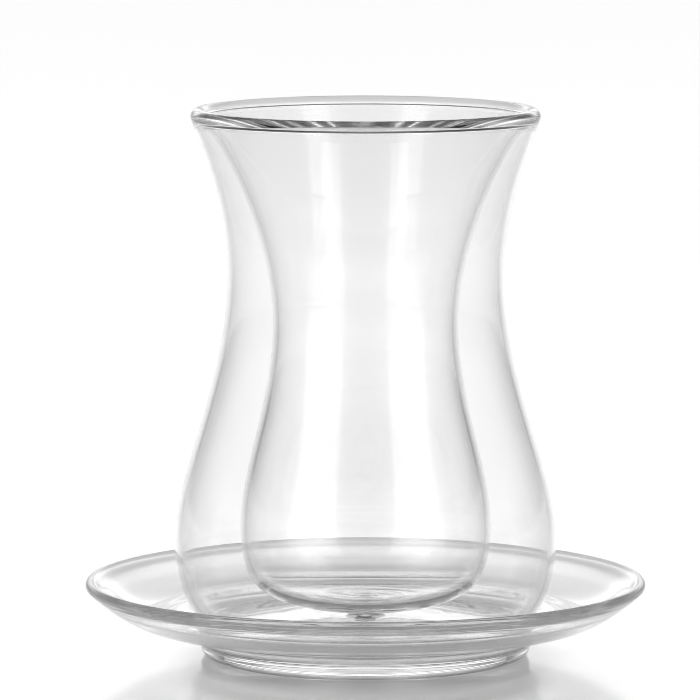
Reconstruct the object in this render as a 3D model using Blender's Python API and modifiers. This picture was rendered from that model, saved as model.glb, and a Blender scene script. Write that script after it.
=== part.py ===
"""Double-walled tulip tea glass standing on its footed saucer, both of clear glass.

Units are metres and +Z is up. The origin is the centre of the saucer's foot, on the table.
Three pieces: the glass, the seal of the vent in its outer base, and the saucer.
Each one is turned from a profile of (radius, height) points.
"""

import math

import bpy
import numpy

MM = 0.001

# Both pieces
GLASS_WALL = 1.2 * MM
PLATE_WALL = 2.2 * MM
RESTING_GAP = 0.3 * MM
TURN_STEPS = 44
SEAL_STEPS = 16
MERGE_DISTANCE = 0.00001

# Saucer
SAUCER_RADIUS = 55.0 * MM
BEAD_RADIUS = 1.0 * MM
BEAD_LEVEL = 14.1 * MM
BEAD_INNER_ANGLE = 150
BEAD_UNDER_ANGLE = -48
FOOT_RADIUS = 32.4 * MM
FOOT_HEIGHT = 3.3 * MM
FOOT_OUTER_EDGE = 2.1 * MM
FOOT_FLAT_WIDTH = 1.6 * MM
FOOT_INNER_EDGE = 1.2 * MM
FOOT_SPREAD = 0.4 * MM
PLATE_TURN_RADIUS = 50.3 * MM
PLATE_TURN_LEVEL = 9.8 * MM
PLATE_MIDDLE_RADIUS = 43.0 * MM
PLATE_MIDDLE_LEVEL = 6.5 * MM
FLOOR_TOP = FOOT_HEIGHT + PLATE_WALL
FLOOR_RADIUS = 31.0 * MM

# Outer wall of the glass, heights above the table
BASE_LEVEL = FLOOR_TOP + RESTING_GAP
BASE_RADIUS = 29.2 * MM
BASE_RING_INNER = 26.0 * MM
PUNT_RADIUS = 21.0 * MM
PUNT_RISE = 0.5 * MM
HEEL_RADIUS = 34.1 * MM
HEEL_LEVEL = 9.3 * MM
TURN_RADIUS = 36.4 * MM
TURN_LEVEL = 14.6 * MM
BELLY_RADIUS = 37.4 * MM
BELLY_LEVEL = 22.5 * MM
SHOULDER_RADIUS = 33.3 * MM
SHOULDER_LEVEL = 42.5 * MM
FLANK_RADIUS = 29.0 * MM
FLANK_LEVEL = 58.3 * MM
WAIST_RADIUS = 27.0 * MM
WAIST_LEVEL = 74.0 * MM
NECK_RADIUS = 29.9 * MM
NECK_LEVEL = 93.6 * MM

# Lip where the two walls are fused
RIM_RADIUS = 34.15 * MM
LIP_ROUNDING = 1.6 * MM
LIP_LEVEL = 106.1 * MM
LIP_INNER_ANGLE = 150
LIP_OUTER_ANGLE = -20
VOID_TOP_LEVEL = 105.9 * MM
VOID_TOP_RADIUS = 32.1 * MM
VOID_ROUNDING = 0.5 * MM
VOID_TOP_SPREAD = 10
VOID_SIDES_END = 104.9 * MM

# Cup, the side of the inner wall that holds the tea
CUP_BOTTOM_LEVEL = 10.9 * MM
CUP_BOTTOM_WALL = 1.6 * MM
CUP_HEEL_RADIUS = 15.3 * MM
CUP_HEEL_LEVEL = 12.0 * MM
CUP_TURN_RADIUS = 20.3 * MM
CUP_TURN_LEVEL = 14.6 * MM
CUP_BELLY_RADIUS = 23.4 * MM
CUP_BELLY_LEVEL = 25.6 * MM
CUP_SHOULDER_RADIUS = 20.5 * MM
CUP_SHOULDER_LEVEL = 42.5 * MM
CUP_WAIST_RADIUS = 16.95 * MM
CUP_WAIST_LEVEL = 64.5 * MM
CUP_NECK_RADIUS = 20.3 * MM
CUP_NECK_LEVEL = 85.0 * MM
CUP_FLARE_RADIUS = 28.8 * MM
CUP_FLARE_LEVEL = 103.2 * MM

# Vent in the outer base and the drop of glass that seals it
VENT_RADIUS = 1.5 * MM
SEAL_GAP = 0.3 * MM
SEAL_HEAD_RADIUS = 2.1 * MM
SEAL_HEAD_HEIGHT = 0.8 * MM
SEAL_EDGE = 0.25 * MM
SEAL_EDGE_ANGLE = 50
SEAL_DOME_RADIUS = 1.15 * MM
SEAL_DOME_DROP = 0.12 * MM

CLEAR_GLASS = (0.95, 0.97, 0.96, 1.0)
GLASS_ROUGHNESS = 0.02
GLASS_IOR = 1.47


def clear_scene():
    """Remove whatever objects the scene holds."""
    for item in list(bpy.data.objects):
        bpy.data.objects.remove(item, do_unlink=True)


def smooth_line(stations, steps, start=None, end=None):
    """Points along a smooth curve through the stations; start and end are its end directions, if set."""
    directions = station_directions(stations, start, end)
    points = []
    for index in range(len(stations) - 1):
        span = (stations[index], stations[index + 1], directions[index], directions[index + 1])
        points += [span_point(span, step / steps) for step in range(steps)]
    points.append(stations[-1])
    return points


def station_directions(stations, start, end):
    """The curve's direction at each station, such that its bend never jumps."""
    places = numpy.array(stations)
    count = len(places)
    runs = numpy.linalg.norm(numpy.diff(places, axis=0), axis=1)
    slopes = numpy.diff(places, axis=0) / runs[:, None]
    weights = numpy.zeros((count, count))
    targets = numpy.zeros((count, 2))
    for index in range(1, count - 1):
        before, after = runs[index - 1], runs[index]
        weights[index, index - 1:index + 2] = (after, 2 * (before + after), before)
        targets[index] = 3 * (after * slopes[index - 1] + before * slopes[index])
    weights[0, :2] = (1, 0) if start else (2, 1)
    targets[0] = start if start else 3 * slopes[0]
    weights[-1, -2:] = (0, 1) if end else (1, 2)
    targets[-1] = end if end else 3 * slopes[-1]
    return numpy.linalg.solve(weights, targets).tolist()


def span_point(span, share):
    """A point at a share of the way along one cubic span of a smooth curve."""
    start, end, start_direction, end_direction = span
    run = math.dist(start, end)
    rest = 1 - share
    return tuple(
        rest * rest * (1 + 2 * share) * start[axis]
        + share * share * (3 - 2 * share) * end[axis]
        + share * rest * run * (rest * start_direction[axis] - share * end_direction[axis])
        for axis in range(2)
    )


def circle_point(centre, radius, degrees):
    """A point on a circle; 0 degrees points outward and 90 up."""
    angle = math.radians(degrees)
    return (centre[0] + radius * math.cos(angle), centre[1] + radius * math.sin(angle))


def clockwise(degrees):
    """The direction of clockwise travel at an angle on a circle."""
    return (math.sin(math.radians(degrees)), -math.cos(math.radians(degrees)))


def arc(centre, radius, from_degrees, to_degrees, steps):
    """Points on an arc, both ends included."""
    stretch = (to_degrees - from_degrees) / steps
    return [circle_point(centre, radius, from_degrees + stretch * step) for step in range(steps + 1)]


def offset_line(points, distance):
    """The line moved sideways to the left of its direction by distance."""
    moved = []
    for index, point in enumerate(points):
        before = points[max(index - 1, 0)]
        after = points[min(index + 1, len(points) - 1)]
        run = math.dist(before, after)
        across = (-(after[1] - before[1]) / run, (after[0] - before[0]) / run)
        moved.append((point[0] + distance * across[0], point[1] + distance * across[1]))
    return moved


def cup_line(lip):
    """Inside of the cup, from its bottom on the axis up to a point of the lip."""
    stations = [
        (0.0, CUP_BOTTOM_LEVEL),
        (CUP_HEEL_RADIUS, CUP_HEEL_LEVEL),
        (CUP_TURN_RADIUS, CUP_TURN_LEVEL),
        (CUP_BELLY_RADIUS, CUP_BELLY_LEVEL),
        (CUP_SHOULDER_RADIUS, CUP_SHOULDER_LEVEL),
        (CUP_WAIST_RADIUS, CUP_WAIST_LEVEL),
        (CUP_NECK_RADIUS, CUP_NECK_LEVEL),
        (CUP_FLARE_RADIUS, CUP_FLARE_LEVEL),
        lip,
    ]
    return smooth_line(stations, 3, start=(1, 0), end=clockwise(LIP_INNER_ANGLE))


def outer_line(lip):
    """Outside of the glass, from a point of the lip down to the edge of the base."""
    stations = [
        lip,
        (NECK_RADIUS, NECK_LEVEL),
        (WAIST_RADIUS, WAIST_LEVEL),
        (FLANK_RADIUS, FLANK_LEVEL),
        (SHOULDER_RADIUS, SHOULDER_LEVEL),
        (BELLY_RADIUS, BELLY_LEVEL),
        (TURN_RADIUS, TURN_LEVEL),
        (HEEL_RADIUS, HEEL_LEVEL),
        (BASE_RADIUS, BASE_LEVEL),
    ]
    return smooth_line(stations, 3, start=clockwise(LIP_OUTER_ANGLE), end=(-1, 0))


def glass_profile():
    """Section of the glass, from the cup's bottom over the lip, down, and back inside the void."""
    lip_centre = (RIM_RADIUS - LIP_ROUNDING, LIP_LEVEL)
    lip = arc(lip_centre, LIP_ROUNDING, LIP_INNER_ANGLE, 0, 5)
    lip.append(circle_point(lip_centre, LIP_ROUNDING, LIP_OUTER_ANGLE))
    cup = cup_line(lip[0])
    base = [
        (BASE_RING_INNER, BASE_LEVEL),
        (PUNT_RADIUS, BASE_LEVEL + PUNT_RISE),
        (VENT_RADIUS, BASE_LEVEL + PUNT_RISE),
    ]
    shell = outer_line(lip[-1]) + base
    void_outer = [point for point in offset_line(shell, -GLASS_WALL) if point[1] < VOID_SIDES_END]
    void_outer[-1] = (VENT_RADIUS, BASE_LEVEL + PUNT_RISE + GLASS_WALL)
    void_cup = [point for point in offset_line(cup, -GLASS_WALL) if point[1] < VOID_SIDES_END]
    void_cup[0] = (0.0, CUP_BOTTOM_LEVEL - CUP_BOTTOM_WALL)
    void_top_centre = (VOID_TOP_RADIUS, VOID_TOP_LEVEL - VOID_ROUNDING)
    void_top = arc(void_top_centre, VOID_ROUNDING, -VOID_TOP_SPREAD, 180 + VOID_TOP_SPREAD, 4)
    return cup[:-1] + lip + shell[1:] + void_outer[::-1] + void_top + void_cup[::-1]


def seal_profile():
    """Section of the drop that seals the vent: a stem in the hole and a head inside the void."""
    stem_radius = VENT_RADIUS - SEAL_GAP
    floor = BASE_LEVEL + PUNT_RISE + GLASS_WALL
    head_bottom = floor + SEAL_GAP
    head_top = head_bottom + SEAL_HEAD_HEIGHT
    edge_centre = (SEAL_HEAD_RADIUS - SEAL_EDGE, head_bottom + SEAL_EDGE)
    dome = [(0.0, head_top), (SEAL_DOME_RADIUS, head_top - SEAL_DOME_DROP)]
    return dome + arc(edge_centre, SEAL_EDGE, SEAL_EDGE_ANGLE, -90, 4) + [
        (stem_radius, head_bottom),
        (stem_radius, BASE_LEVEL + PUNT_RISE),
        (0.0, BASE_LEVEL + PUNT_RISE),
    ]


def plate_underside(bead_end):
    """Underside of the saucer, from the end of the bead in to the top of the foot."""
    stations = [
        bead_end,
        (PLATE_TURN_RADIUS, PLATE_TURN_LEVEL),
        (PLATE_MIDDLE_RADIUS, PLATE_MIDDLE_LEVEL),
        (FOOT_RADIUS + FOOT_SPREAD, FOOT_HEIGHT),
    ]
    return smooth_line(stations, 3, start=clockwise(BEAD_UNDER_ANGLE))


def saucer_profile():
    """Section of the saucer, from the middle of its floor over the bead and in under the foot."""
    bead_centre = (SAUCER_RADIUS - BEAD_RADIUS, BEAD_LEVEL)
    bead = arc(bead_centre, BEAD_RADIUS, BEAD_INNER_ANGLE, 0, 5)
    bead.append(circle_point(bead_centre, BEAD_RADIUS, BEAD_UNDER_ANGLE))
    underside = plate_underside(bead[-1])
    upper = offset_line(underside, -PLATE_WALL)[::-1][1:-2]
    outer_edge_centre = (FOOT_RADIUS - FOOT_OUTER_EDGE, FOOT_OUTER_EDGE)
    outer_edge = arc(outer_edge_centre, FOOT_OUTER_EDGE, 0, -90, 4)
    foot_inner = outer_edge[-1][0] - FOOT_FLAT_WIDTH
    inner_edge_centre = (foot_inner, FOOT_INNER_EDGE)
    inner_edge = arc(inner_edge_centre, FOOT_INNER_EDGE, -90, -180, 3)
    recess_radius = inner_edge[-1][0]
    floor = [(0.0, FLOOR_TOP), (FLOOR_RADIUS, FLOOR_TOP)]
    recess = [(recess_radius, FOOT_HEIGHT), (0.0, FOOT_HEIGHT)]
    return floor + upper + bead + underside[1:] + outer_edge + inner_edge + recess


def glass_material(name):
    """Clear colourless borosilicate glass."""
    material = bpy.data.materials.new(name)
    material.use_nodes = True
    shader = material.node_tree.nodes["Principled BSDF"]
    shader.inputs["Base Color"].default_value = CLEAR_GLASS
    shader.inputs["Roughness"].default_value = GLASS_ROUGHNESS
    shader.inputs["Metallic"].default_value = 0.0
    shader.inputs["Transmission Weight"].default_value = 1.0
    shader.inputs["IOR"].default_value = GLASS_IOR
    return material


def turned_piece(name, profile, steps, collection):
    """An object turned round the Z axis from a profile of (radius, height) points."""
    points = [(radius, 0.0, height) for radius, height in profile]
    edges = [(index, index + 1) for index in range(len(points) - 1)]
    mesh = bpy.data.meshes.new(name)
    mesh.from_pydata(points, edges, [])
    mesh.update()
    piece = bpy.data.objects.new(name, mesh)
    collection.objects.link(piece)
    piece.data.materials.append(glass_material(name + "_material"))
    screw = piece.modifiers.new("turn", "SCREW")
    screw.axis = "Z"
    screw.angle = math.tau
    screw.screw_offset = 0.0
    screw.steps = steps
    screw.render_steps = steps
    screw.use_merge_vertices = True
    screw.merge_threshold = MERGE_DISTANCE
    screw.use_smooth_shade = True
    return piece


def main():
    """Build the three pieces in one collection."""
    clear_scene()
    collection = bpy.data.collections.new("turkish_tea_glass")
    bpy.context.scene.collection.children.link(collection)
    turned_piece("saucer", saucer_profile(), TURN_STEPS, collection)
    turned_piece("glass", glass_profile(), TURN_STEPS, collection)
    turned_piece("vent_seal", seal_profile(), SEAL_STEPS, collection)


if __name__ == "__main__":
    main()
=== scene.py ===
"""Looks of a double-walled tulip tea glass on its footed saucer, both of clear borosilicate glass.

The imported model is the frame: every piece made here has the form and the place of the part it stands for.
Sizes are metres, +Z is up, and the origin is the middle of the saucer's foot on the table.
"""

import logging
import math
from dataclasses import dataclass, field
from enum import Enum

import bpy
import numpy
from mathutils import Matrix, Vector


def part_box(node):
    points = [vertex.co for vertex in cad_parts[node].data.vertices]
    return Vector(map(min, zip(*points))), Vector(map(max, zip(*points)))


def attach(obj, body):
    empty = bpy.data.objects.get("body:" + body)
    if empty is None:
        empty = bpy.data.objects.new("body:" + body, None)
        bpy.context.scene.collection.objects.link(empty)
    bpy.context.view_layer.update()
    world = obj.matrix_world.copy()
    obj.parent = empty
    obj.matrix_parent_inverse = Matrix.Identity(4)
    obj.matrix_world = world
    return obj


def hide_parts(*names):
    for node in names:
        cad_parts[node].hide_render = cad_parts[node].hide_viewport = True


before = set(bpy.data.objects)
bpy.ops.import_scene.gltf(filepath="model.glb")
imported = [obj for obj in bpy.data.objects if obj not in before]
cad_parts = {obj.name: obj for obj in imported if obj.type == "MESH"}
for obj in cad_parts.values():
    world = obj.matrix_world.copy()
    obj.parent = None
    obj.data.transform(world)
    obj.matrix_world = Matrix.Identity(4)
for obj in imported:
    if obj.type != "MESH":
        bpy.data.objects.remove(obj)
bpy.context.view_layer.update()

log = logging.getLogger("tea_glass")

MM = 0.001
BODY = "root"
PHOTO_PIXELS = 700
SENSOR_WIDTH_MM = 36.0
FAR_PLANE = 60.0
DOUBLES_REACH = 0.001 * MM

Point = tuple[float, float]
Outline = list[Point]
Place = tuple[float, float, float]


# Outlines of turned pieces, as points of (radius, height)

def arc(centre: Point, radius: float, start: float, end: float, steps: int) -> Outline:
    """Walk along an arc.

    Args:
        centre: middle of the arc.
        radius: its radius.
        start: first angle in degrees; 0 points outward and 90 up.
        end: last angle in degrees.
        steps: number of stretches between the points.

    Returns:
        The points, both ends included.
    """
    angles = [math.radians(start + (end - start) * step / steps) for step in range(steps + 1)]
    return [(centre[0] + radius * math.cos(a), centre[1] + radius * math.sin(a)) for a in angles]


def along_arc(degrees: float, turn: int = 1) -> Point:
    """Return the direction of travel on an arc at an angle, anticlockwise for a turn of 1."""
    angle = math.radians(degrees)
    return (-turn * math.sin(angle), turn * math.cos(angle))


def curve_directions(stations: Outline, start: Point | None, end: Point | None) -> list[list[float]]:
    """Find the directions at the stations of a curve whose bend never jumps.

    Args:
        stations: the points that the curve goes through.
        start: its first direction, or None where it may run out straight.
        end: its last direction, or None where it may run out straight.

    Returns:
        One direction for each station.
    """
    places = numpy.array(stations)
    count = len(places)
    runs = numpy.linalg.norm(numpy.diff(places, axis=0), axis=1)
    slopes = numpy.diff(places, axis=0) / runs[:, None]
    weights = numpy.zeros((count, count))
    targets = numpy.zeros((count, 2))
    for index in range(1, count - 1):
        before, after = runs[index - 1], runs[index]
        weights[index, index - 1:index + 2] = (after, 2 * (before + after), before)
        targets[index] = 3 * (after * slopes[index - 1] + before * slopes[index])
    weights[0, :2] = (1, 0) if start else (2, 1)
    targets[0] = start if start else 3 * slopes[0]
    weights[-1, -2:] = (0, 1) if end else (1, 2)
    targets[-1] = end if end else 3 * slopes[-1]
    return numpy.linalg.solve(weights, targets).tolist()


def smooth_line(
    stations: Outline, spacing: float, start: Point | None = None, end: Point | None = None
) -> Outline:
    """Draw a smooth curve through stations.

    Args:
        stations: the points that the curve goes through.
        spacing: about how far apart its points are.
        start: its first direction, if it has to have one.
        end: its last direction, if it has to have one.

    Returns:
        The points of the curve, both ends included.
    """
    directions = curve_directions(stations, start, end)
    points: Outline = []
    for index in range(len(stations) - 1):
        a, b = stations[index], stations[index + 1]
        da, db = directions[index], directions[index + 1]
        run = math.dist(a, b)
        steps = max(2, round(run / spacing))
        for step in range(steps):
            t = step / steps
            s = 1 - t
            points.append(tuple(
                s * s * (1 + 2 * t) * a[k] + t * t * (3 - 2 * t) * b[k]
                + t * s * run * (s * da[k] - t * db[k])
                for k in range(2)
            ))
    points.append(stations[-1])
    return points


def offset_line(points: Outline, distance: float) -> Outline:
    """Move a line sideways.

    Args:
        points: the line.
        distance: how far it moves to the left of its direction; to the right where negative.

    Returns:
        The moved line, with as many points.
    """
    moved: Outline = []
    for index, point in enumerate(points):
        before = points[max(index - 1, 0)]
        after = points[min(index + 1, len(points) - 1)]
        run = math.dist(before, after)
        across = (-(after[1] - before[1]) / run, (after[0] - before[0]) / run)
        moved.append((point[0] + distance * across[0], point[1] + distance * across[1]))
    return moved


# Modelling, as by hand

def turn_outline(name: str, outline: Outline, steps: int) -> bpy.types.Object:
    """Turn an outline into a closed piece: one vertex is extruded along it and spun about the Z axis.

    Args:
        name: the piece's name.
        outline: its section, which starts and ends on the axis.
        steps: number of stretches round the piece.

    Returns:
        The new piece, with its place in its mesh.
    """
    bpy.ops.object.select_all(action="DESELECT")
    bpy.ops.mesh.primitive_plane_add(size=1 * MM, location=(0, 0, 0))
    piece = bpy.context.active_object
    piece.name = name
    piece.data.name = name
    bpy.ops.object.mode_set(mode="EDIT")
    bpy.ops.mesh.select_all(action="SELECT")
    bpy.ops.mesh.merge(type="CENTER")
    bpy.ops.transform.translate(value=(outline[0][0], 0, outline[0][1]))
    for here, there in zip(outline, outline[1:]):
        step = (there[0] - here[0], 0, there[1] - here[1])
        bpy.ops.mesh.extrude_region_move(TRANSFORM_OT_translate={"value": step})
    bpy.ops.mesh.select_all(action="SELECT")
    bpy.ops.mesh.spin(steps=steps, angle=math.tau, center=(0, 0, 0), axis=(0, 0, 1))
    bpy.ops.mesh.select_all(action="SELECT")
    bpy.ops.mesh.remove_doubles(threshold=DOUBLES_REACH)
    bpy.ops.mesh.normals_make_consistent(inside=False)
    bpy.ops.object.mode_set(mode="OBJECT")
    bpy.ops.object.shade_smooth()
    return piece


# Materials

def linear(hex_colour: str) -> tuple[float, float, float, float]:
    """Turn an sRGB hex colour such as F4F6F5 into linear red, green, blue and alpha."""
    shares = [int(hex_colour[i:i + 2], 16) / 255 for i in (0, 2, 4)]
    values = [s / 12.92 if s <= 0.04045 else ((s + 0.055) / 1.055) ** 2.4 for s in shares]
    return (values[0], values[1], values[2], 1.0)


def add_node(tree: bpy.types.NodeTree, kind: str, settings: dict | None = None,
             inputs: dict | None = None) -> bpy.types.Node:
    """Add a node to a tree.

    Args:
        tree: the tree that it goes in.
        kind: Blender's type name of the node.
        settings: attribute values, such as its operation.
        inputs: values or links by socket name; a link is given as the socket that it comes from.

    Returns:
        The new node.
    """
    node = tree.nodes.new(kind)
    for key, value in (settings or {}).items():
        setattr(node, key, value)
    for key, value in (inputs or {}).items():
        if isinstance(value, bpy.types.NodeSocket):
            tree.links.new(value, node.inputs[key])
        else:
            node.inputs[key].default_value = value
    return node


class Making(Enum):
    """How a piece of glass was made: blown and spun skins waver a little, a small fused drop doesn't."""

    LAMP_BLOWN = "lamp-blown"
    SPUN = "spun in a mould"
    FUSED = "a fused drop"


@dataclass(frozen=True)
class Borosilicate:
    """Borosilicate glass with a fire-polished skin, clear and without a cast of colour."""

    name: str
    making: Making
    tint: str = "FEFEFE"
    ior: float = 1.47
    depth_tone: str = "BCBCBC"
    depth_density: float = 4.0
    ripple_width: float = 14 * MM
    ripple_depth: float = 0.012 * MM

    def material(self) -> bpy.types.Material:
        """Make the material."""
        # Clear borosilicate, fire-polished: sharp highlights and see-through walls. Its edges turn grey
        # where light runs along inside the wall, because it loses a little on its long way there.
        material = bpy.data.materials.new(self.name)
        material.use_nodes = True
        tree = material.node_tree
        shader = tree.nodes["Principled BSDF"]
        shader.inputs["Base Color"].default_value = linear(self.tint)
        shader.inputs["Metallic"].default_value = 0.0
        shader.inputs["Roughness"].default_value = 0.0
        shader.inputs["IOR"].default_value = self.ior
        shader.inputs["Transmission Weight"].default_value = 1.0
        depth = add_node(
            tree, "ShaderNodeVolumeAbsorption",
            inputs={"Color": linear(self.depth_tone), "Density": self.depth_density},
        )
        tree.links.new(depth.outputs["Volume"], tree.nodes["Material Output"].inputs["Volume"])
        if self.making is not Making.FUSED:
            self.ripple(tree, shader)
        return material

    def ripple(self, tree: bpy.types.NodeTree, shader: bpy.types.Node) -> None:
        """Let the skin swell slowly, so that highlights and edges waver a little.

        Args:
            tree: the material's tree.
            shader: the node whose normal the ripple bends.
        """
        place = add_node(tree, "ShaderNodeTexCoord")
        swell = add_node(
            tree, "ShaderNodeTexNoise",
            inputs={"Vector": place.outputs["Object"], "Scale": 1 / self.ripple_width, "Detail": 0.0},
        )
        bump = add_node(
            tree, "ShaderNodeBump",
            inputs={"Height": swell.outputs["Fac"], "Distance": self.ripple_depth, "Strength": 1.0},
        )
        tree.links.new(bump.outputs["Normal"], shader.inputs["Normal"])


# The object

@dataclass
class TulipGlass:
    """The double-walled glass: a cup inside an outer wall, fused at the lip, with still air between."""

    wall: float = 1.2 * MM
    turn_steps: int = 224
    spacing: float = 1.3 * MM

    base_level: float = 5.8 * MM
    base_radius: float = 29.2 * MM
    base_ring_inner: float = 26.0 * MM
    punt_radius: float = 21.0 * MM
    punt_rise: float = 0.5 * MM
    vent_radius: float = 1.5 * MM
    heel: Point = (34.1 * MM, 9.3 * MM)
    turn: Point = (36.4 * MM, 14.6 * MM)
    belly: Point = (37.4 * MM, 22.5 * MM)
    shoulder: Point = (33.3 * MM, 42.5 * MM)
    flank: Point = (29.0 * MM, 58.3 * MM)
    waist: Point = (27.0 * MM, 74.0 * MM)
    neck: Point = (29.9 * MM, 93.6 * MM)

    rim_radius: float = 34.15 * MM
    lip_rounding: float = 1.6 * MM
    lip_level: float = 106.1 * MM
    lip_outer_degrees: float = -20.0
    lip_inner_degrees: float = 150.0
    lip_steps: int = 26
    void_top: Point = (32.1 * MM, 105.4 * MM)
    void_rounding: float = 0.5 * MM
    void_steps: int = 8
    void_start: float = 4.5 * MM

    cup_bottom_level: float = 10.9 * MM
    cup_bottom_wall: float = 1.6 * MM
    cup_heel: Point = (15.3 * MM, 12.0 * MM)
    cup_turn: Point = (20.3 * MM, 14.6 * MM)
    cup_belly: Point = (23.4 * MM, 25.6 * MM)
    cup_shoulder: Point = (20.5 * MM, 42.5 * MM)
    cup_waist: Point = (16.95 * MM, 64.5 * MM)
    cup_neck: Point = (20.3 * MM, 85.0 * MM)
    cup_flare: Point = (28.8 * MM, 103.2 * MM)

    mark_radius: float = 1.65 * MM
    mark_groove: float = 0.7 * MM
    mark_depth: float = 0.22 * MM
    mark_reach: float = 2.8 * MM
    mark_steps: int = 9
    swirl_reach: float = 20.0 * MM
    swirl_top: float = 13.0 * MM
    swirl_width: float = 7.0 * MM
    swirl_depth: float = 0.11 * MM
    swirl_bend: float = 0.9
    swirl_lag_per_mm: float = 1.7
    swirl_fade: float = 2.0 * MM

    finish: Borosilicate = field(
        default_factory=lambda: Borosilicate("lamp_blown_borosilicate", Making.LAMP_BLOWN)
    )

    def lip_centre(self) -> Point:
        """Return the middle of the lip's rounding."""
        return (self.rim_radius - self.lip_rounding, self.lip_level)

    def cup_line(self) -> Outline:
        """Return the inside of the cup, from its bottom on the axis up to the lip."""
        lip = arc(self.lip_centre(), self.lip_rounding, self.lip_inner_degrees, 0, 1)[0]
        stations = [
            (0.0, self.cup_bottom_level), self.cup_heel, self.cup_turn, self.cup_belly,
            self.cup_shoulder, self.cup_waist, self.cup_neck, self.cup_flare, lip,
        ]
        end = along_arc(self.lip_inner_degrees, -1)
        line = smooth_line(stations, self.spacing, start=(1.0, 0.0), end=end)
        return self.mark() + [point for point in line if point[0] > self.mark_reach]

    def mark(self) -> Outline:
        """Return the small ring left in the middle of the cup's bottom, where the blown end was closed."""
        points: Outline = []
        for step in range(self.mark_steps + 1):
            radius = self.mark_reach * step / self.mark_steps
            groove = math.exp(-((radius - self.mark_radius) / self.mark_groove) ** 2)
            points.append((radius, self.cup_bottom_level - self.mark_depth * groove))
        return points

    def outer_line(self) -> Outline:
        """Return the outside of the glass, from under the lip down to the edge of the base."""
        lip = arc(self.lip_centre(), self.lip_rounding, self.lip_outer_degrees, 0, 1)[0]
        stations = [
            lip, self.neck, self.waist, self.flank, self.shoulder, self.belly, self.turn, self.heel,
            (self.base_radius, self.base_level),
        ]
        start = along_arc(self.lip_outer_degrees, -1)
        return smooth_line(stations, self.spacing, start=start, end=(-1.0, 0.0))

    def base_line(self) -> Outline:
        """Return the underside of the base, from its contact ring in to the vent."""
        vent = (self.vent_radius, self.base_level + self.punt_rise)
        stations = [
            (self.base_ring_inner, self.base_level), (self.punt_radius, vent[1]), vent,
        ]
        return smooth_line(stations, 2 * self.spacing, start=(-1.0, 0.0), end=(-1.0, 0.0))

    def outline(self) -> Outline:
        """Return the section: up the cup, over the lip, down the outside and back between the walls."""
        cup = self.cup_line()
        lip = arc(
            self.lip_centre(), self.lip_rounding, self.lip_inner_degrees, self.lip_outer_degrees,
            self.lip_steps,
        )
        shell = self.outer_line() + self.base_line()
        closing = self.void_top[1]
        void_outer = [p for p in offset_line(shell, -self.wall) if p[1] < closing]
        void_outer[-1] = (self.vent_radius, shell[-1][1] + self.wall)
        # The cup's underside is plain in its middle, so it starts past the mark in the cup's bottom.
        past_mark = [p for p in cup if p[0] > self.void_start]
        void_cup = [p for p in offset_line(past_mark, -self.wall) if p[1] < closing]
        void_cup.insert(0, (0.0, self.cup_bottom_level - self.wall))
        thicker = self.cup_bottom_wall - self.wall
        reach = self.cup_heel[0]
        void_cup = [(r, z - thicker * max(0.0, 1 - (r / reach) ** 2)) for r, z in void_cup]
        void_top = arc(self.void_top, self.void_rounding, 0, 180, self.void_steps)
        return cup[:-1] + lip + shell[1:] + void_outer[::-1] + void_top + void_cup[::-1]

    def work_middle(self, piece: bpy.types.Object) -> None:
        """Leave the bottom uneven round its middle, where flame and tool closed it.

        Args:
            piece: the turned glass; each of its skins gets its own swirl.
        """
        for vertex in piece.data.vertices:
            x, y, z = vertex.co
            radius = math.hypot(x, y)
            if radius > self.swirl_reach or z > self.swirl_top:
                continue
            turn = math.atan2(y, x)
            lag = self.swirl_lag_per_mm * z / MM
            bend = turn + lag + self.swirl_bend * math.sin(2 * turn + lag)
            wave = math.sin(math.tau * radius / self.swirl_width + bend)
            inward = min(1.0, radius / self.swirl_width)
            outward = math.cos(math.pi / 2 * radius / self.swirl_reach) ** 2
            upward = min(1.0, (self.swirl_top - z) / self.swirl_fade)
            vertex.co.z += self.swirl_depth * wave * inward * outward * upward
        piece.data.update()

    def build(self) -> bpy.types.Object:
        """Build the glass in place of its plain solid and dress it."""
        piece = turn_outline("tea_glass", self.outline(), self.turn_steps)
        self.work_middle(piece)
        piece.data.materials.append(self.finish.material())
        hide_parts("glass")
        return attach(piece, BODY)


@dataclass
class VentSeal:
    """The drop of glass that closes the vent in the outer base."""

    stem_radius: float = 1.2 * MM
    head_radius: float = 2.1 * MM
    head_height: float = 0.8 * MM
    edge: float = 0.25 * MM
    edge_degrees: float = 50.0
    dome_radius: float = 1.15 * MM
    dome_drop: float = 0.12 * MM
    spacing: float = 0.2 * MM
    turn_steps: int = 48
    edge_steps: int = 10
    finish: Borosilicate = field(
        default_factory=lambda: Borosilicate("fused_borosilicate", Making.FUSED)
    )

    def outline(self) -> Outline:
        """Return the section of the drop, a domed head on a stem."""
        low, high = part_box("vent_seal")
        head_bottom = high.z - self.head_height
        edge_centre = (self.head_radius - self.edge, head_bottom + self.edge)
        edge = arc(edge_centre, self.edge, self.edge_degrees, -90, self.edge_steps)
        stations = [(0.0, high.z), (self.dome_radius, high.z - self.dome_drop), edge[0]]
        dome = smooth_line(stations, self.spacing, start=(1.0, 0.0), end=along_arc(self.edge_degrees, -1))
        stem = [(self.stem_radius, head_bottom), (self.stem_radius, low.z), (0.0, low.z)]
        return dome[:-1] + edge + stem

    def build(self) -> bpy.types.Object:
        """Build the drop in place of its plain solid and dress it."""
        piece = turn_outline("vent_seal_drop", self.outline(), self.turn_steps)
        piece.data.materials.append(self.finish.material())
        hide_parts("vent_seal")
        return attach(piece, BODY)


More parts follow.
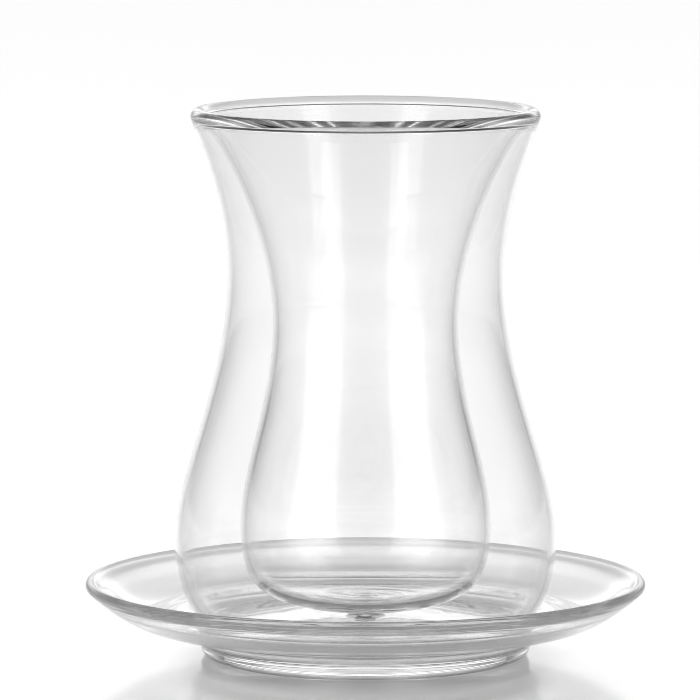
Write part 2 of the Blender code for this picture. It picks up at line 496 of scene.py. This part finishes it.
@dataclass
class FootedSaucer:
    """The saucer: a shallow dish with a beaded edge on a low foot ring."""

    radius: float = 55.0 * MM
    wall: float = 2.2 * MM
    bead_radius: float = 1.0 * MM
    bead_level: float = 14.1 * MM
    bead_inner_degrees: float = 150.0
    bead_under_degrees: float = -48.0
    plate_turn: Point = (50.3 * MM, 9.8 * MM)
    plate_middle: Point = (43.0 * MM, 6.5 * MM)
    dish_end_radius: float = 52.0 * MM
    dish_start_rise: float = 0.6 * MM
    floor_flat_radius: float = 28.0 * MM
    foot_radius: float = 32.4 * MM
    foot_spread: float = 0.4 * MM
    foot_height: float = 3.3 * MM
    foot_outer_edge: float = 2.1 * MM
    foot_flat_width: float = 1.6 * MM
    foot_inner_edge: float = 1.2 * MM
    recess_fillet: float = 0.5 * MM
    bead_steps: int = 20
    outer_edge_steps: int = 12
    inner_edge_steps: int = 8
    fillet_steps: int = 6
    turn_steps: int = 256
    spacing: float = 1.0 * MM
    finish: Borosilicate = field(
        default_factory=lambda: Borosilicate("spun_borosilicate", Making.SPUN)
    )

    def bead(self) -> Outline:
        """Return the rounded edge, from inside over the top and under."""
        centre = (self.radius - self.bead_radius, self.bead_level)
        return arc(
            centre, self.bead_radius, self.bead_inner_degrees, self.bead_under_degrees, self.bead_steps
        )

    def underside(self) -> Outline:
        """Return the underside of the dish, from beneath the bead in to the foot."""
        stations = [
            self.bead()[-1], self.plate_turn, self.plate_middle,
            (self.foot_radius + self.foot_spread, self.foot_height),
            (self.foot_radius, self.foot_outer_edge),
        ]
        start = along_arc(self.bead_under_degrees, -1)
        return smooth_line(stations, self.spacing, start=start, end=(0.0, -1.0))

    def upper_side(self) -> Outline:
        """Return the upper side of the dish, from the middle of its flat floor out to the bead."""
        floor_top = self.foot_height + self.wall
        dish = [
            (r, z) for r, z in offset_line(self.underside(), -self.wall)
            if r < self.dish_end_radius and z > floor_top + self.dish_start_rise
        ]
        flat = [(0.0, floor_top), (self.floor_flat_radius, floor_top)]
        # Every third point of the dish is enough for a smooth run into the flat floor and the bead.
        stations = flat + dish[::-1][::3] + [self.bead()[0]]
        end = along_arc(self.bead_inner_degrees, -1)
        return smooth_line(stations, self.spacing, start=(1.0, 0.0), end=end)

    def foot(self) -> Outline:
        """Return the foot ring, from its outside round underneath and in over the recess."""
        outer_centre = (self.foot_radius - self.foot_outer_edge, self.foot_outer_edge)
        outer_edge = arc(outer_centre, self.foot_outer_edge, 0, -90, self.outer_edge_steps)
        inner_centre = (outer_edge[-1][0] - self.foot_flat_width, self.foot_inner_edge)
        inner_edge = arc(inner_centre, self.foot_inner_edge, -90, -180, self.inner_edge_steps)
        fillet_centre = (inner_edge[-1][0] - self.recess_fillet, self.foot_height - self.recess_fillet)
        fillet = arc(fillet_centre, self.recess_fillet, 0, 90, self.fillet_steps)
        return outer_edge + inner_edge + fillet + [(0.0, self.foot_height)]

    def outline(self) -> Outline:
        """Return the section, from the middle of the floor over the bead and in under the foot."""
        return self.upper_side()[:-1] + self.bead() + self.underside()[1:-1] + self.foot()

    def build(self) -> bpy.types.Object:
        """Build the saucer in place of its plain solid and dress it."""
        piece = turn_outline("tea_saucer", self.outline(), self.turn_steps)
        piece.data.materials.append(self.finish.material())
        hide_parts("saucer")
        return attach(piece, BODY)


# The studio

@dataclass
class Studio:
    """A glossy pale table, a room lit low at the back, a soft key above, and a long lens."""

    distance: float = 1205.0 * MM
    height: float = 201.9 * MM
    tilt_degrees: float = 6.705
    focal_pixels: float = 6200.0
    axis_pixel: float = 365.6
    floor_size: float = 12.0
    sheet_tone: str = "EAEAEA"
    sheet_roughness: float = 0.12
    sheet_glow: float = 0.12
    sheet_ior: float = 1.49
    key_place: Place = (-0.4, 1.9, 5.8)
    key_aim: Place = (0.0, 0.2, 0.0)
    key_width: float = 2.4
    key_power: float = 150.0
    bounces: int = 256
    filter_width: float = 0.9
    room_tones: tuple[Point, ...] = (
        (0.0, 1.68), (0.12, 1.68), (0.27, 1.4), (0.45, 0.9), (0.6, 0.55), (0.75, 0.3), (0.9, 0.25),
        (1.1, 0.35), (1.64, 0.5), (1.9, 0.75), (2.2, 1.1), (2.6, 1.1), (2.9, 0.75), (math.pi, 0.55),
    )
    overhead_tones: tuple[Point, ...] = (
        (0.0, 0.5), (0.06, 0.54), (0.11, 0.72), (0.17, 0.95), (0.22, 0.9), (0.32, 0.45), (0.5, 0.2),
        (1.0, 0.14),
    )
    box_tones: tuple[Point, ...] = (
        (2.15, 0.0), (2.27, 0.5), (2.38, 1.9), (2.55, 1.9), (2.68, 0.4), (2.85, 0.0)
    )
    box_heights: tuple[Point, ...] = ((0.0, 0.5), (0.1, 0.9), (0.25, 1.0), (0.6, 0.9), (0.8, 0.0))

    def camera(self) -> bpy.types.Object:
        """Place the camera at the height and distance that the photograph's ellipses give."""
        aside = (self.axis_pixel - PHOTO_PIXELS / 2) / self.focal_pixels * self.distance
        bpy.ops.object.select_all(action="DESELECT")
        bpy.ops.object.camera_add(
            location=(-aside, -self.distance, self.height),
            rotation=(math.radians(90 - self.tilt_degrees), 0, 0),
        )
        camera = bpy.context.active_object
        camera.data.sensor_width = SENSOR_WIDTH_MM
        camera.data.lens = self.focal_pixels * SENSOR_WIDTH_MM / PHOTO_PIXELS
        camera.data.clip_end = FAR_PLANE
        bpy.context.scene.camera = camera
        return camera

    def floor(self) -> bpy.types.Object:
        """Lay the table."""
        # Opal acrylic sheet, polished: mirrors the bright room at a low angle, glows a little within.
        bpy.ops.object.select_all(action="DESELECT")
        bpy.ops.mesh.primitive_plane_add(size=self.floor_size, location=(0, 0, 0))
        floor = bpy.context.active_object
        floor.name = "table"
        material = bpy.data.materials.new("opal_acrylic")
        material.use_nodes = True
        tree = material.node_tree
        shader = tree.nodes["Principled BSDF"]
        shader.inputs["Base Color"].default_value = linear(self.sheet_tone)
        shader.inputs["Roughness"].default_value = self.sheet_roughness
        shader.inputs["IOR"].default_value = self.sheet_ior
        shader.inputs["Emission Color"].default_value = (1.0, 1.0, 1.0, 1.0)
        shader.inputs["Emission Strength"].default_value = self.sheet_glow
        floor.data.materials.append(material)
        return floor

    def key(self, clear_dish: bpy.types.Object) -> bpy.types.Object:
        """Hang the soft key above and behind, so that the shadow falls a little towards the camera.

        Args:
            clear_dish: the saucer, whose thin clear glass lets the light through to the table.

        Returns:
            The light.
        """
        clear_dish.visible_shadow = False
        bpy.ops.object.select_all(action="DESELECT")
        bpy.ops.object.light_add(type="AREA", location=self.key_place)
        light = bpy.context.active_object
        light.name = "soft_key"
        light.data.shape = "SQUARE"
        light.data.size = self.key_width
        light.data.energy = self.key_power
        x, y, z = (aim - place for aim, place in zip(self.key_aim, self.key_place))
        light.rotation_euler = (math.atan2(math.hypot(x, y), -z), 0, math.atan2(y, x) - math.pi / 2)
        light.visible_camera = False
        light.visible_glossy = False
        light.visible_transmission = False
        return light

    def surroundings(self) -> None:
        """Fill the room with soft light: bright low at the back, dim overhead, a soft box at each side."""
        world = bpy.data.worlds.new("studio_room")
        bpy.context.scene.world = world
        world.use_nodes = True
        tree = world.node_tree
        place = add_node(tree, "ShaderNodeTexCoord")
        axes = add_node(tree, "ShaderNodeSeparateXYZ", inputs={"Vector": place.outputs["Generated"]})
        turn = add_node(
            tree, "ShaderNodeMath", {"operation": "ARCTAN2"},
            {0: axes.outputs["X"], 1: axes.outputs["Y"]},
        )
        from_back = add_node(tree, "ShaderNodeMath", {"operation": "ABSOLUTE"}, {0: turn.outputs[0]})
        room = self.ramp(tree, from_back, self.room_tones)
        height = self.ramp(tree, axes, self.overhead_tones, "Z")
        boxes = self.ramp(tree, from_back, self.box_tones)
        reach = self.ramp(tree, axes, self.box_heights, "Z")
        plain = add_node(
            tree, "ShaderNodeMath", {"operation": "MULTIPLY"}, {0: room.outputs[0], 1: height.outputs[0]}
        )
        level = add_node(
            tree, "ShaderNodeMath", {"operation": "MULTIPLY_ADD"},
            {0: boxes.outputs[0], 1: reach.outputs[0], 2: plain.outputs[0]},
        )
        back = tree.nodes["Background"]
        tree.links.new(level.outputs[0], back.inputs["Strength"])
        back.inputs["Color"].default_value = (1.0, 1.0, 1.0, 1.0)

    @staticmethod
    def ramp(tree: bpy.types.NodeTree, source: bpy.types.Node, stops: tuple[Point, ...],
             output: str | int = 0) -> bpy.types.Node:
        """Turn a value into a brightness by a smooth curve.

        Args:
            tree: the tree that the curve goes in.
            source: the node that gives the value.
            stops: pairs of a value and its brightness, in rising order.
            output: the source's socket.

        Returns:
            The node with the brightness.
        """
        curve = add_node(tree, "ShaderNodeFloatCurve", inputs={"Value": source.outputs[output]})
        mapping = curve.mapping
        mapping.use_clip = False
        mapping.extend = "HORIZONTAL"
        line = mapping.curves[0]
        for point, stop in zip(line.points, (stops[0], stops[-1])):
            point.location = stop
        for stop in stops[1:-1]:
            line.points.new(*stop)
        mapping.update()
        return curve

    def render_look(self) -> None:
        """Ask for plain tones, crisp edges, and as many passes through glass as two double walls need."""
        scene = bpy.context.scene
        scene.view_settings.view_transform = "Standard"
        scene.view_settings.look = "None"
        scene.view_settings.exposure = 0.0
        scene.cycles.max_bounces = self.bounces
        scene.cycles.transmission_bounces = self.bounces
        scene.cycles.glossy_bounces = self.bounces
        scene.cycles.filter_width = self.filter_width

    def build(self) -> None:
        """Set up the whole studio."""
        self.camera()
        self.floor()
        self.surroundings()
        self.render_look()


def main() -> None:
    """Build the studio and the object, and report each piece."""
    logging.basicConfig(level=logging.INFO, format="%(message)s")
    studio = Studio()
    studio.build()
    pieces = [maker.build() for maker in (FootedSaucer(), TulipGlass(), VentSeal())]
    for piece in pieces:
        piece.data.calc_loop_triangles()
        log.info("%s: %d triangles", piece.name, len(piece.data.loop_triangles))
    studio.key(clear_dish=pieces[0])


if __name__ == "__main__":
    main()
